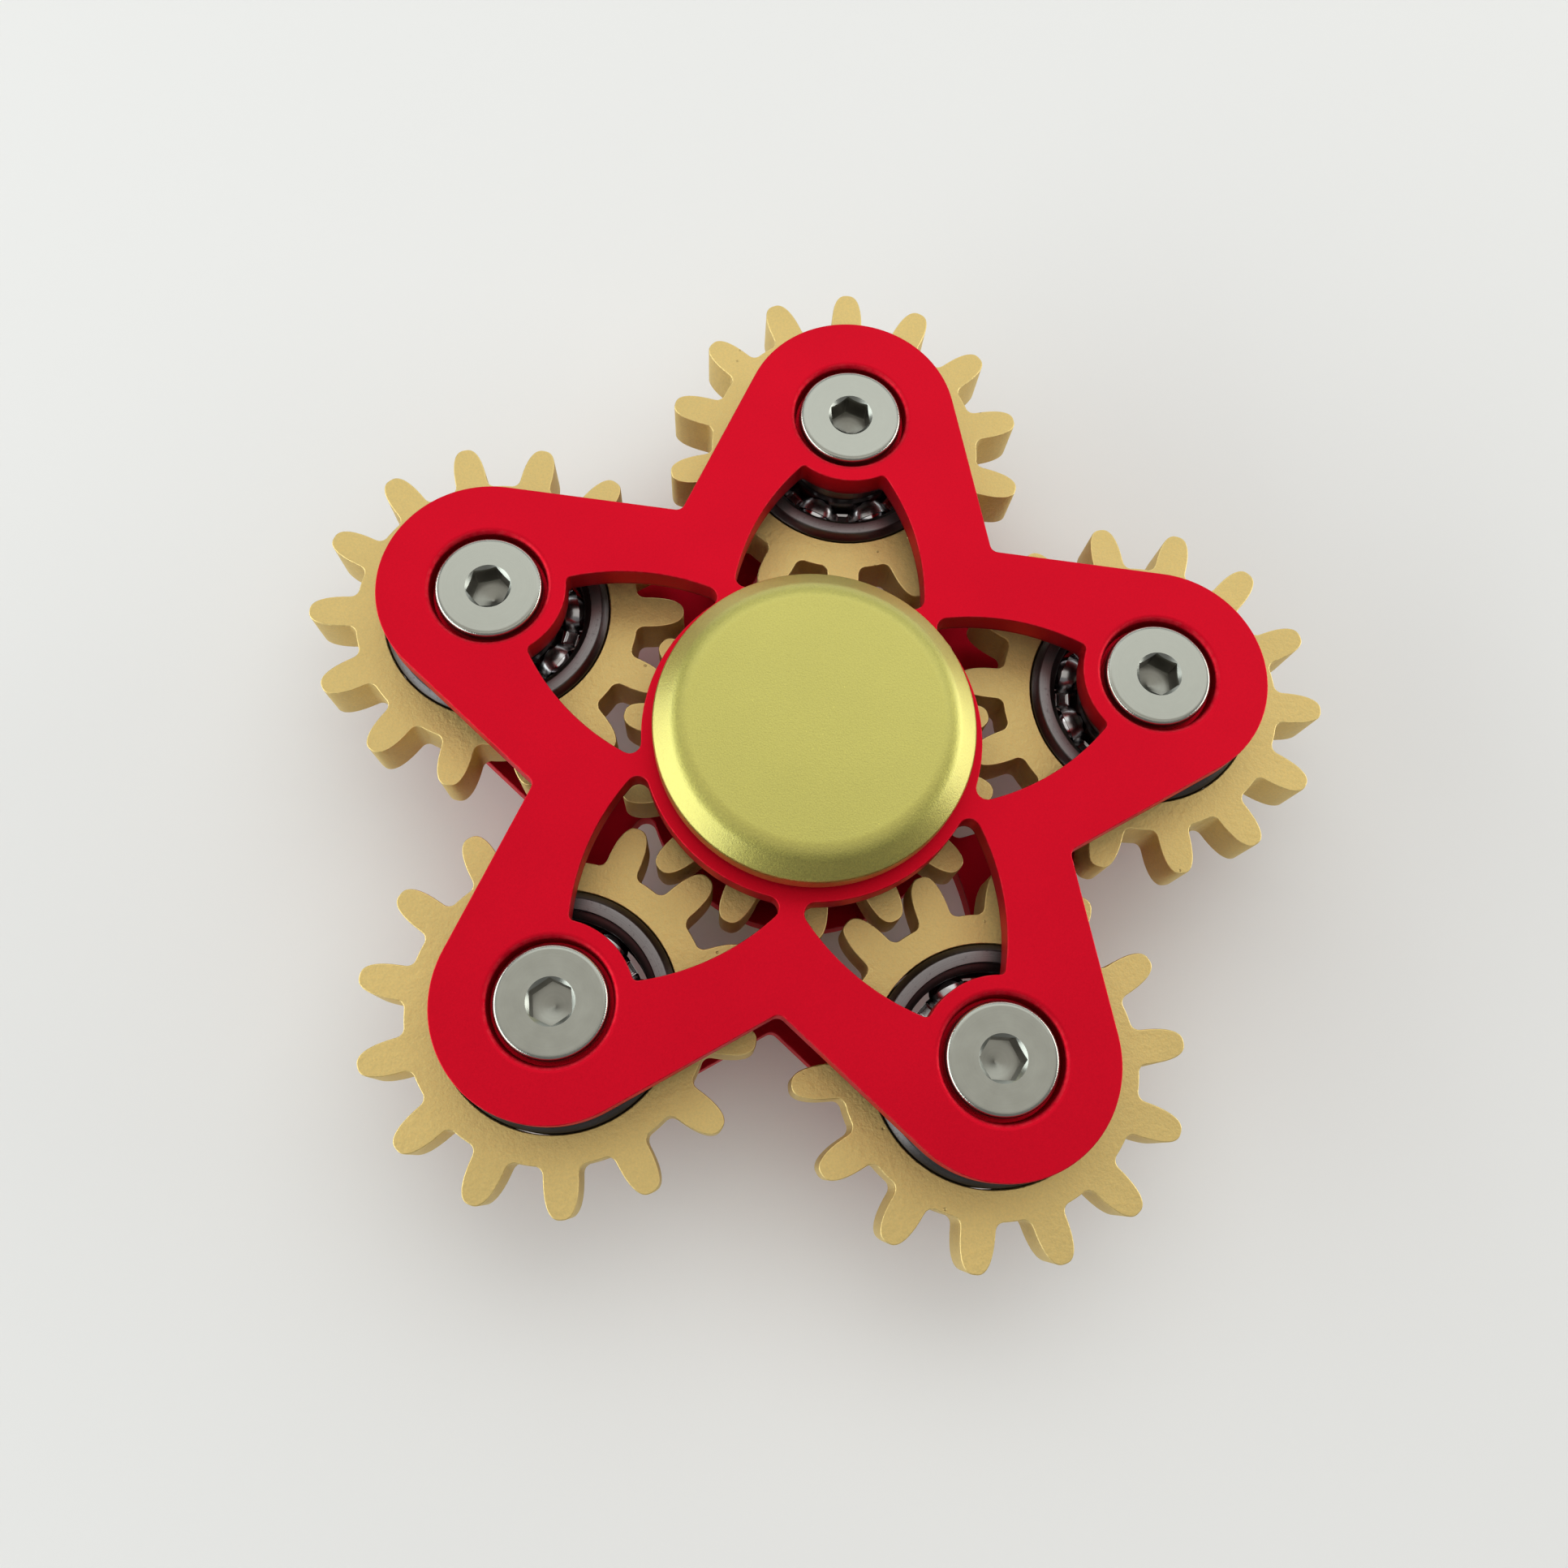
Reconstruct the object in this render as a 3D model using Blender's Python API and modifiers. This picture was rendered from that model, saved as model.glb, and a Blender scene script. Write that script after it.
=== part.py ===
"""Five-gear linkage fidget spinner.

Five planet gears ride on bearings at the tips of a five-armed frame and roll
round one sun gear.  The sun gear turns on a bearing of its own, whose inner
ring is clamped on a centre axle between two finger caps.

Frame: the origin is the centre of the rear cap's flat outer face, +Z points
to the front cap and arm 1 points along +Y.  Metres.
"""
from math import atan2, cos, hypot, pi, radians, sin, sqrt

import bmesh
import bpy
from mathutils import Matrix, Vector

# ---- driving dimensions --------------------------------------------------
ARMS = 5
ARM_RADIUS = 0.0245          # hub centre to screw axis, one gear pitch diameter
FIT = 0.00025                # gap left between neighbouring pieces

TEETH = 14
GEAR_TIP = 0.01333
GEAR_ROOT = 0.00992
GEAR_BORE = 0.008
GEAR_THICKNESS = 0.004
TOOTH_HALF_WIDTH = 0.00115
TOOTH_SHOULDER = 0.0104      # radius where the flank starts to close in
TOOTH_POWER = 2.6            # superellipse power of the rounded tooth end
ROOT_FILLET = 0.0004
SUN_PHASE = radians(20.4)    # direction of one sun tooth at rest

PLATE_OUTER_FACE = 0.00635   # middle plane to a plate's outer face
PLATE_THICKNESS = 0.002
ARM_END = 0.00765
ARM_TAPER = radians(18)
NOTCH_FILLET = 0.0006
HUB_RING = 0.0115
HUB_HOLE = 0.005
EYE = 0.0053                 # wall round the screw recess, window side
WINDOW_SIDE_RADIUS = 0.0163
WINDOW_SIDE_CENTRE = (-0.00965, 0.00963)
WINDOW_HUB_FILLET = 0.00075
WINDOW_EYE_FILLET = 0.0004
RECESS_RIM = 0.00445
RECESS_WALL = 0.004
RECESS_RIM_DEPTH = 0.0005
RECESS_DEPTH = 0.0014
SCREW_HOLE = 0.0029

HEAD_RADIUS = 0.00368
HEAD_CHAMFER = 0.0003
HEAD_HEIGHT = 0.00115
HEX_CORNER = 0.00162
HEX_DEPTH = 0.0024
HEX_CONE = 0.0004
SOCKET_CORNERS = (43, 20, 42, 4, 38)    # degrees from +X to a corner, screws 1 to 5
NECK_RADIUS = 0.0023
NECK_LENGTH = 0.00175
SHANK_RADIUS = 0.00145
SHANK_END = 0.008            # below the head's face
BARREL_RADIUS = 0.00225
BARREL_BORE = 0.00175
BARREL_BORE_DEPTH = 0.0057

BEARING_HALF = 0.0025
BEARING_BORE = 0.0025
BALLS = 8
BALL_RADIUS = 0.001389
BALL_PITCH = 0.00525
CAGE_TURNS = (-17, -12, 8, -4, 9.5)    # degrees from the arm to a ball, planets 1 to 5
RING_LAND = 0.0009           # ball pitch circle to each ring's land
RING_LAND_HALF = 0.0014
RING_STEP = 0.0005
OUTER_FACE_IN = 0.00666
INNER_FACE_OUT = 0.0039
GROOVE_DEPTH = 0.00085
CAGE_HALF_WIDTH = 0.0003
CAGE_HALF_HEIGHT = 0.0009

CAP_GAP = 0.0006             # cap rim to plate
CAP_RISE = 0.0037            # plate to the cap's flat face
CAP_RADIUS = 0.0107
CAP_FLAT = 0.009
CAP_WALL = 0.0022            # plate to the top of the cap's outer wall
CAP_BORE_DEPTH = 0.0018
AXLE_RADIUS = 0.00225
SPACER_RADIUS = 0.0037

RING_SIDES = 24              # facets round the bearings and bores
SMALL_SIDES = 16
SPACER_SIDES = 12
CAP_SIDES = 36

MIDDLE = PLATE_OUTER_FACE + CAP_RISE
PITCH = 2 * pi / TEETH


# ---- scene and materials -------------------------------------------------
for old in list(bpy.data.objects):
    bpy.data.objects.remove(old, do_unlink=True)

parts = bpy.data.collections.new("gear_linkage_spinner")
cutters = bpy.data.collections.new("cutters")
bpy.context.scene.collection.children.link(parts)
bpy.context.scene.collection.children.link(cutters)


def material(name, colour, roughness, metallic):
    mat = bpy.data.materials.new(name)
    mat.use_nodes = True
    shader = mat.node_tree.nodes["Principled BSDF"]
    shader.inputs["Base Color"].default_value = (*colour, 1)
    shader.inputs["Roughness"].default_value = roughness
    shader.inputs["Metallic"].default_value = metallic
    mat.diffuse_color = (*colour, 1)
    return mat


RED = material("red_anodised_aluminium", (0.62, 0.005, 0.015), 0.45, 0.6)
GOLD = material("pale_gold_anodised_aluminium", (0.57, 0.54, 0.17), 0.5, 0.7)
BRASS = material("blasted_brass", (0.60, 0.46, 0.19), 0.5, 1.0)
STAINLESS = material("stainless_steel", (0.45, 0.46, 0.44), 0.35, 1.0)
BEARING_STEEL = material("bearing_steel", (0.30, 0.30, 0.33), 0.3, 1.0)
CAGE_STEEL = material("cage_and_ball_steel", (0.42, 0.42, 0.43), 0.2, 1.0)


# ---- modelling tools -----------------------------------------------------
def finish(mesh, mat):
    """Weld, shade smooth with sharp edges, and give the one material."""
    work = bmesh.new()
    work.from_mesh(mesh)
    bmesh.ops.remove_doubles(work, verts=work.verts, dist=1e-7)
    work.to_mesh(mesh)
    work.free()
    mesh.shade_smooth()
    mesh.set_sharp_from_angle(angle=radians(35))
    mesh.materials.clear()
    mesh.materials.append(mat)
    return mesh


def baked(obj, mat):
    """The object's evaluated mesh; the object itself is removed."""
    depsgraph = bpy.context.evaluated_depsgraph_get()
    mesh = bpy.data.meshes.new_from_object(obj.evaluated_get(depsgraph))
    bpy.data.objects.remove(obj, do_unlink=True)
    return finish(mesh, mat)


def draft(name, data, collection=parts):
    obj = bpy.data.objects.new(name, data)
    collection.objects.link(obj)
    return obj


def turned(profile, segments, mat, ring=False):
    """A profile of (radius, height) pairs, outer side running down, swept about Z."""
    points = [(r, 0, z) for r, z in profile]
    edges = [(i, i + 1) for i in range(len(points) - 1)]
    if ring:
        edges.append((len(points) - 1, 0))
    mesh = bpy.data.meshes.new("turned")
    mesh.from_pydata(points, edges, [])
    obj = draft("turned", mesh)
    sweep = obj.modifiers.new("Screw", "SCREW")
    sweep.steps = segments
    sweep.render_steps = segments
    sweep.use_merge_vertices = True
    sweep.merge_threshold = 1e-6
    return baked(obj, mat)


def flat_plate(outlines, thickness, mat):
    """Outlines of (x, y) points; the first is the edge and the rest are holes."""
    curve = bpy.data.curves.new("outline", "CURVE")
    curve.dimensions = "2D"
    curve.fill_mode = "BOTH"
    curve.extrude = thickness / 2
    for outline in outlines:
        spline = curve.splines.new("POLY")
        spline.points.add(len(outline) - 1)
        for point, (x, y) in zip(spline.points, outline):
            point.co = (x, y, 0, 1)
        spline.use_cyclic_u = True
    return baked(draft("outline", curve), mat)


def combined(mesh, cutter_meshes, operation, mat):
    """Mesh after EXACT Booleans with each of the cutter meshes in turn."""
    obj = draft("body", mesh)
    guides = []
    for cutter_mesh in cutter_meshes:
        guide = draft("cutter", cutter_mesh, cutters)
        guide.hide_render = True
        guide.display_type = "WIRE"
        guides.append(guide)
        cut = obj.modifiers.new("Boolean", "BOOLEAN")
        cut.operation = operation
        cut.solver = "EXACT"
        cut.object = guide
    result = baked(obj, mat)
    for guide in guides:
        bpy.data.objects.remove(guide, do_unlink=True)
    return result


def arc(centre, radius, start, end, steps):
    """Points on a circle from one angle to another, both ends included."""
    turn = (end - start) / steps
    return [(centre[0] + radius * cos(start + turn * i),
             centre[1] + radius * sin(start + turn * i)) for i in range(steps + 1)]


def circle(radius, steps, centre=(0, 0)):
    return arc(centre, radius, 0, 2 * pi, steps)[:-1]


def circles_meet(c1, r1, c2, r2):
    """The meeting point of two circles that lies further along +X."""
    gap = Vector(c2) - Vector(c1)
    along = (gap.length_squared + r1 ** 2 - r2 ** 2) / (2 * gap.length)
    across = sqrt(r1 ** 2 - along ** 2)
    step = gap.normalized()
    foot = Vector(c1) + step * along
    side = Vector((-step.y, step.x)) * across
    return max(foot + side, foot - side, key=lambda point: point.x)


def angle_from(centre, point):
    return atan2(point[1] - centre[1], point[0] - centre[0])


def turn_points(points, angle):
    return [(x * cos(angle) - y * sin(angle), x * sin(angle) + y * cos(angle)) for x, y in points]


def arm_angle(arm):
    """Direction of arm 1 to 5; arm 1 points along +Y."""
    return radians(90) + 2 * pi * (arm - 1) / ARMS


def on_arm(arm, height=0.0):
    return (ARM_RADIUS * cos(arm_angle(arm)), ARM_RADIUS * sin(arm_angle(arm)), height)


# ---- gear ----------------------------------------------------------------
def gear_outline():
    """Bullet-shaped teeth with their first tooth centred on +X."""
    half = []
    for turn in (0, pi / 2):
        half.append((GEAR_ROOT + ROOT_FILLET * (1 - cos(turn)),
                     TOOTH_HALF_WIDTH + ROOT_FILLET * (1 - sin(turn))))
    reach = GEAR_TIP - TOOTH_SHOULDER
    for turn in (radians(a) for a in (32, 56, 78)):
        half.append((TOOTH_SHOULDER + reach * sin(turn) ** (2 / TOOTH_POWER),
                     TOOTH_HALF_WIDTH * cos(turn) ** (2 / TOOTH_POWER)))
    tooth = [(x, -y) for x, y in half] + [(x, y) for x, y in reversed(half)]
    outline = []
    for number in range(TEETH):
        outline += turn_points(tooth, number * PITCH)
    return outline


gear_mesh = flat_plate([gear_outline(), circle(GEAR_BORE, RING_SIDES)], GEAR_THICKNESS, BRASS)


# ---- bearing -------------------------------------------------------------
def outer_ring_mesh():
    rim = GEAR_BORE - FIT
    land = BALL_PITCH + RING_LAND
    upper = [(land, RING_LAND_HALF), (land, BEARING_HALF - RING_STEP),
             (OUTER_FACE_IN, BEARING_HALF), (rim - FIT, BEARING_HALF),
             (rim, BEARING_HALF - FIT)]
    lower = [(r, -z) for r, z in reversed(upper)]
    groove = [(land + GROOVE_DEPTH, 0)]
    return turned(upper + lower + groove, RING_SIDES, BEARING_STEEL, ring=True)


def inner_ring_mesh():
    land = BALL_PITCH - RING_LAND
    upper = [(BEARING_BORE, BEARING_HALF), (INNER_FACE_OUT, BEARING_HALF),
             (land, BEARING_HALF - RING_STEP), (land, RING_LAND_HALF)]
    lower = [(r, -z) for r, z in reversed(upper)]
    groove = [(land - GROOVE_DEPTH, 0)]
    return turned(upper + groove + lower, SMALL_SIDES, BEARING_STEEL, ring=True)


def cage_mesh():
    """Cage band with its balls, one solid because they turn together."""
    band = turned([(BALL_PITCH - CAGE_HALF_WIDTH, CAGE_HALF_HEIGHT),
                   (BALL_PITCH + CAGE_HALF_WIDTH, CAGE_HALF_HEIGHT),
                   (BALL_PITCH + CAGE_HALF_WIDTH, -CAGE_HALF_HEIGHT),
                   (BALL_PITCH - CAGE_HALF_WIDTH, -CAGE_HALF_HEIGHT)], 2 * BALLS, CAGE_STEEL, ring=True)
    balls = bmesh.new()
    for number in range(BALLS):
        angle = 2 * pi * number / BALLS
        place = Matrix.Rotation(angle, 4, "Z") @ Matrix.Translation((BALL_PITCH, 0, 0))
        bmesh.ops.create_uvsphere(balls, u_segments=6, v_segments=4, radius=BALL_RADIUS, matrix=place)
    ball_mesh = bpy.data.meshes.new("balls")
    balls.to_mesh(ball_mesh)
    balls.free()
    return combined(band, [ball_mesh], "UNION", CAGE_STEEL)


bearing_outer = outer_ring_mesh()
bearing_inner = inner_ring_mesh()
bearing_cage = cage_mesh()


# ---- frame plate ---------------------------------------------------------
def plate_edge():
    """Five tapered arms with round ends and small fillets in the notches."""
    side_distance = ARM_RADIUS * sin(ARM_TAPER) + ARM_END
    edge = []
    for arm in range(1, ARMS + 1):
        along = arm_angle(arm)
        half_turn = pi / 2 - ARM_TAPER
        edge += arc(on_arm(arm)[:2], ARM_END, along - half_turn, along + half_turn, 9)
        middle = along + pi / ARMS
        reach = (side_distance + NOTCH_FILLET) / cos(pi / ARMS)
        notch = (reach * cos(middle), reach * sin(middle))
        edge += arc(notch, NOTCH_FILLET, middle + pi + pi / ARMS, middle + pi - pi / ARMS, 2)
    return edge


def window():
    """Opening of the arm along +Y: hub arc, bowed sides and an arc round the screw."""
    hub, screw = (0, 0), (0, ARM_RADIUS)
    low = circles_meet(hub, HUB_RING + WINDOW_HUB_FILLET,
                       WINDOW_SIDE_CENTRE, WINDOW_SIDE_RADIUS - WINDOW_HUB_FILLET)
    high = circles_meet(screw, EYE + WINDOW_EYE_FILLET,
                        WINDOW_SIDE_CENTRE, WINDOW_SIDE_RADIUS - WINDOW_EYE_FILLET)
    low_out = angle_from(WINDOW_SIDE_CENTRE, low)
    high_out = angle_from(WINDOW_SIDE_CENTRE, high)
    half = arc(hub, HUB_RING, pi / 2, angle_from(hub, low), 2)
    half += arc(low, WINDOW_HUB_FILLET, angle_from(hub, low) - pi, low_out, 2)[1:]
    half += arc(WINDOW_SIDE_CENTRE, WINDOW_SIDE_RADIUS, low_out, high_out, 4)[1:]
    half += arc(high, WINDOW_EYE_FILLET, high_out, angle_from(screw, high) + pi, 1)[1:]
    half += arc(screw, EYE, angle_from(screw, high), -pi / 2, 2)[1:]
    return half + [(-x, y) for x, y in reversed(half[1:-1])]


def plate_mesh():
    """Plate with its middle plane at z = 0 and its outer face up."""
    outlines = [plate_edge(), circle(HUB_HOLE, RING_SIDES)]
    for arm in range(1, ARMS + 1):
        outlines.append(turn_points(window(), arm_angle(arm) - pi / 2))
        outlines.append(circle(SCREW_HOLE, SMALL_SIDES, on_arm(arm)[:2]))
    plain = flat_plate(outlines, PLATE_THICKNESS, RED)
    face = PLATE_THICKNESS / 2
    over = face + FIT
    recess = turned([(0, over), (RECESS_RIM, over), (RECESS_RIM, face),
                     (RECESS_WALL, face - RECESS_RIM_DEPTH), (RECESS_WALL, face - RECESS_DEPTH),
                     (0, face - RECESS_DEPTH)], SMALL_SIDES, RED)
    tools = []
    for arm in range(1, ARMS + 1):
        tool = recess.copy()
        tool.transform(Matrix.Translation(on_arm(arm)))
        tools.append(tool)
    return combined(plain, tools, "DIFFERENCE", RED)


frame_plate = plate_mesh()


# ---- screws, sleeves, spacers --------------------------------------------
def hex_socket():
    """Cutter for the six-sided socket, one corner on +Y, and its drilled bottom; face at z = 0."""
    tool = bmesh.new()
    top = FIT
    height = top + HEX_DEPTH
    bmesh.ops.create_cone(tool, cap_ends=True, segments=6, radius1=HEX_CORNER, radius2=HEX_CORNER,
                          depth=height, matrix=Matrix.Translation((0, 0, top - height / 2)))
    low_face = min(tool.faces, key=lambda face: face.calc_center_median().z)
    tip = bmesh.ops.poke(tool, faces=[low_face])["verts"][0]
    tip.co.z -= HEX_CONE
    mesh = bpy.data.meshes.new("hex_socket")
    tool.to_mesh(mesh)
    tool.free()
    return mesh


HEAD_TOP = [(0, 0), (HEAD_RADIUS - HEAD_CHAMFER, 0), (HEAD_RADIUS, -HEAD_CHAMFER),
            (HEAD_RADIUS, -HEAD_HEIGHT)]


def screw_mesh():
    """Screw with its head's face at z = 0 and its shank pointing down."""
    neck_end = -HEAD_HEIGHT - NECK_LENGTH
    body = turned(HEAD_TOP + [(NECK_RADIUS, -HEAD_HEIGHT), (NECK_RADIUS, neck_end),
                              (SHANK_RADIUS, neck_end), (SHANK_RADIUS, -SHANK_END),
                              (0, -SHANK_END)], SMALL_SIDES, STAINLESS)
    return combined(body, [hex_socket()], "DIFFERENCE", STAINLESS)


def sleeve_mesh():
    """Threaded sleeve, the same head with a barrel that takes the screw."""
    barrel_end = -(2 * PLATE_OUTER_FACE - HEAD_HEIGHT - NECK_LENGTH - FIT)
    bore_end = barrel_end + BARREL_BORE_DEPTH
    body = turned(HEAD_TOP + [(BARREL_RADIUS, -HEAD_HEIGHT), (BARREL_RADIUS, barrel_end),
                              (BARREL_BORE, barrel_end), (BARREL_BORE, bore_end),
                              (0, bore_end)], SMALL_SIDES, STAINLESS)
    return combined(body, [hex_socket()], "DIFFERENCE", STAINLESS)


def spacer_mesh(length, radius):
    half = length / 2
    return turned([(BEARING_BORE, half), (radius, half), (radius, -half),
                   (BEARING_BORE, -half)], SPACER_SIDES, STAINLESS, ring=True)


screw_body = screw_mesh()
sleeve_body = sleeve_mesh()
ARM_SPACER_SPAN = PLATE_OUTER_FACE - PLATE_THICKNESS - BEARING_HALF
arm_spacer = spacer_mesh(ARM_SPACER_SPAN - 2 * FIT, SPACER_RADIUS)
CAP_UNDERSIDE = PLATE_OUTER_FACE + CAP_GAP
HUB_SPACER_SPAN = CAP_UNDERSIDE - BEARING_HALF
hub_spacer = spacer_mesh(HUB_SPACER_SPAN - 2 * FIT, SPACER_RADIUS)


# ---- caps and axle -------------------------------------------------------
def cap_mesh():
    """Finger cap with z = 0 at the middle plane of the whole spinner."""
    top = PLATE_OUTER_FACE + CAP_RISE
    wall = PLATE_OUTER_FACE + CAP_WALL
    soft = 0.0003
    bore = AXLE_RADIUS + FIT
    profile = [(0, top), (CAP_FLAT - soft, top), (CAP_FLAT + soft / 2, top - soft / 2),
               (CAP_RADIUS - soft, wall + soft / 2), (CAP_RADIUS, wall - soft),
               (CAP_RADIUS, CAP_UNDERSIDE + soft), (CAP_RADIUS - soft, CAP_UNDERSIDE),
               (bore, CAP_UNDERSIDE), (bore, CAP_UNDERSIDE + CAP_BORE_DEPTH),
               (0, CAP_UNDERSIDE + CAP_BORE_DEPTH)]
    return turned(profile, CAP_SIDES, GOLD)


cap_body = cap_mesh()
AXLE_HALF = CAP_UNDERSIDE + CAP_BORE_DEPTH - FIT
axle_body = turned([(0, AXLE_HALF), (AXLE_RADIUS, AXLE_HALF), (AXLE_RADIUS, -AXLE_HALF),
                    (0, -AXLE_HALF)], SMALL_SIDES, STAINLESS)


# ---- assembly ------------------------------------------------------------
def body_empty(name, parent=None, place=(0, 0, 0)):
    """Empty on a moving body's joint axis, at the gears' middle plane."""
    empty = draft(name, None)
    empty.empty_display_size = 0.005
    empty.location = place
    empty.parent = parent
    return empty


def piece(name, mesh, parent, height=0.0, spin=0.0, flipped=False):
    """One sub-part under a body's empty; flipped turns its outer face to -Z."""
    obj = draft(name, mesh)
    obj.parent = parent
    turn = Matrix.Rotation(pi, 4, "Y") if flipped else Matrix.Identity(4)
    obj.matrix_local = Matrix.Translation((0, 0, height)) @ turn @ Matrix.Rotation(spin, 4, "Z")
    return obj


grip = body_empty("grip_body", place=(0, 0, MIDDLE))
piece("front_cap", cap_body, grip)
piece("rear_cap", cap_body, grip, flipped=True)
piece("centre_axle", axle_body, grip)
HUB_SPACER_PLACE = (CAP_UNDERSIDE + BEARING_HALF) / 2
piece("front_hub_spacer", hub_spacer, grip, HUB_SPACER_PLACE)
piece("rear_hub_spacer", hub_spacer, grip, -HUB_SPACER_PLACE)
piece("sun_bearing_inner_ring", bearing_inner, grip)

sun = body_empty("sun_body", grip)
piece("sun_gear", gear_mesh, sun, spin=SUN_PHASE)
piece("sun_bearing_outer_ring", bearing_outer, sun)
sun_cage = body_empty("sun_cage_body", grip)
piece("sun_bearing_cage", bearing_cage, sun_cage)

frame = body_empty("frame_body", sun)
PLATE_PLACE = PLATE_OUTER_FACE - PLATE_THICKNESS / 2
piece("front_plate", frame_plate, frame, PLATE_PLACE)
piece("rear_plate", frame_plate, frame, -PLATE_PLACE, flipped=True)

ARM_SPACER_PLACE = BEARING_HALF + ARM_SPACER_SPAN / 2
for number in range(1, ARMS + 1):
    direction = arm_angle(number)
    axis = body_empty(f"arm_{number}_axis", frame, on_arm(number))
    piece(f"screw_{number}", screw_body, axis, PLATE_OUTER_FACE,
          spin=radians(SOCKET_CORNERS[number - 1] - 90))
    piece(f"sleeve_{number}", sleeve_body, axis, -PLATE_OUTER_FACE, flipped=True)
    piece(f"front_spacer_{number}", arm_spacer, axis, ARM_SPACER_PLACE)
    piece(f"rear_spacer_{number}", arm_spacer, axis, -ARM_SPACER_PLACE)
    piece(f"planet_{number}_bearing_inner_ring", bearing_inner, axis)
    planet = body_empty(f"planet_{number}_body", axis)
    lag = (SUN_PHASE - direction) % PITCH
    piece(f"planet_{number}_gear", gear_mesh, planet, spin=direction + pi - lag + PITCH / 2)
    piece(f"planet_{number}_bearing_outer_ring", bearing_outer, planet)
    cage = body_empty(f"planet_{number}_cage_body", axis)
    piece(f"planet_{number}_bearing_cage", bearing_cage, cage,
          spin=direction + radians(CAGE_TURNS[number - 1]))
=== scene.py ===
"""Five-gear linkage fidget spinner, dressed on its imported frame."""
from math import acos, atan2, cos, pi, radians, sin, sqrt, tau

import bmesh
import bpy
from mathutils import Matrix, Vector


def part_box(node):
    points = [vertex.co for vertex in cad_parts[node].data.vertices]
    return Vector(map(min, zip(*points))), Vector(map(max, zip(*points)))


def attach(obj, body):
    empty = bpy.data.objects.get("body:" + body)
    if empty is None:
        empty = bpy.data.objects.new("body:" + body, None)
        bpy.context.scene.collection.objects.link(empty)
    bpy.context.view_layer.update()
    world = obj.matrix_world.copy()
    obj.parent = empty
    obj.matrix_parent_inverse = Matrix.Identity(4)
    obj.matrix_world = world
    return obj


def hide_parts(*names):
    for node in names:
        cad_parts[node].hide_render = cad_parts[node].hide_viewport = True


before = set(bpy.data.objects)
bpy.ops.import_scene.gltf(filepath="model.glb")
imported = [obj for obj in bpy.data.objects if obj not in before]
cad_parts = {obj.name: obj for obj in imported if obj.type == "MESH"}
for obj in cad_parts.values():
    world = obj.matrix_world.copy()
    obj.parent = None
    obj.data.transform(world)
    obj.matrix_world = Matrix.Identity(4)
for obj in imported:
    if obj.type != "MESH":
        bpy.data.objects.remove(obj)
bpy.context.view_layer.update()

# ---------------------------------------------------------------------------
# Centre axle: a stainless rod that ties the two finger caps together through
# the hub.  It is turned on a lathe and parted off, with a chamfer at each end.
# All sizes below are in millimetres until a piece is set in its place.
MM = 0.001
STEPS = 96
hub_low, hub_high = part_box("centre_axle")
hub = (hub_low + hub_high) / 2


def half_section(work, profile, closed=False):
    """Draw (radius, height, corner) points as one line and round its corners."""
    verts = [work.verts.new((r, 0, z)) for r, z, corner in profile]
    for first, second in zip(verts, verts[1:] + verts[:1] * closed):
        work.edges.new((first, second))
    for vert, (r, z, corner) in zip(verts, profile):
        if corner:
            bmesh.ops.bevel(work, geom=[vert], offset=corner, affect="VERTICES",
                            segments=4, profile=0.5, material=-1)


def turned(profile, closed=False, steps=STEPS):
    """Spin a half section about Z, as a lathe does."""
    work = bmesh.new()
    half_section(work, profile, closed)
    bmesh.ops.spin(work, geom=work.verts[:] + work.edges[:], cent=(0, 0, 0), axis=(0, 0, 1),
                   angle=tau, steps=steps, use_merge=True)
    bmesh.ops.remove_doubles(work, verts=work.verts, dist=1e-4)
    return work


def settle(work, name, body, at, paint, stands_for=(), turn=Matrix.Identity(4)):
    """Weld a mesh, note each point's own place, set it at its CAD spot and ride it on its body."""
    bmesh.ops.remove_doubles(work, verts=work.verts, dist=1e-4)
    bmesh.ops.recalc_face_normals(work, faces=work.faces)
    own = work.verts.layers.float_vector.new("own")
    for vert in work.verts:
        vert[own] = vert.co
    edge_layer = work.faces.layers.float.new("edge")
    for face in work.faces:
        face.smooth = True
        face[edge_layer] = 1.0 if 0.2 < abs(face.normal.z) < 0.97 else 0.0
    for edge in work.edges:
        edge.smooth = edge.calc_face_angle(0) < radians(33)
    bmesh.ops.transform(work, verts=work.verts,
                        matrix=Matrix.Translation(at) @ turn @ Matrix.Scale(MM, 4))
    mesh = bpy.data.meshes.new(name)
    work.to_mesh(mesh)
    work.free()
    mesh.materials.append(paint)
    piece = bpy.data.objects.new(name, mesh)
    bpy.context.scene.collection.objects.link(piece)
    flats = piece.modifiers.new("Keep flats flat", "WEIGHTED_NORMAL")
    flats.keep_sharp = True
    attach(piece, body)
    if stands_for:
        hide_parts(*stands_for)


def add(tree, kind, inputs=(), **settings):
    """Add a shader node; an input that is a socket is linked, any other is set."""
    made = tree.nodes.new(kind)
    for name, value in settings.items():
        setattr(made, name, value)
    for name, value in dict(inputs).items():
        if isinstance(value, bpy.types.NodeSocket):
            tree.links.new(value, made.inputs[name])
        else:
            made.inputs[name].default_value = value
    return made


def sums(tree, operation, first, second=0.0, third=0.0):
    """One step of arithmetic on floats."""
    made = add(tree, "ShaderNodeMath", {0: first, 1: second, 2: third}, operation=operation)
    return made.outputs[0]


def blend_colour(tree, factor, first, second):
    made = add(tree, "ShaderNodeMix", data_type="RGBA")
    for socket, value in ((made.inputs[0], factor), (made.inputs[6], first), (made.inputs[7], second)):
        if isinstance(value, bpy.types.NodeSocket):
            tree.links.new(value, socket)
        else:
            socket.default_value = value
    return made.outputs[2]


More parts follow.
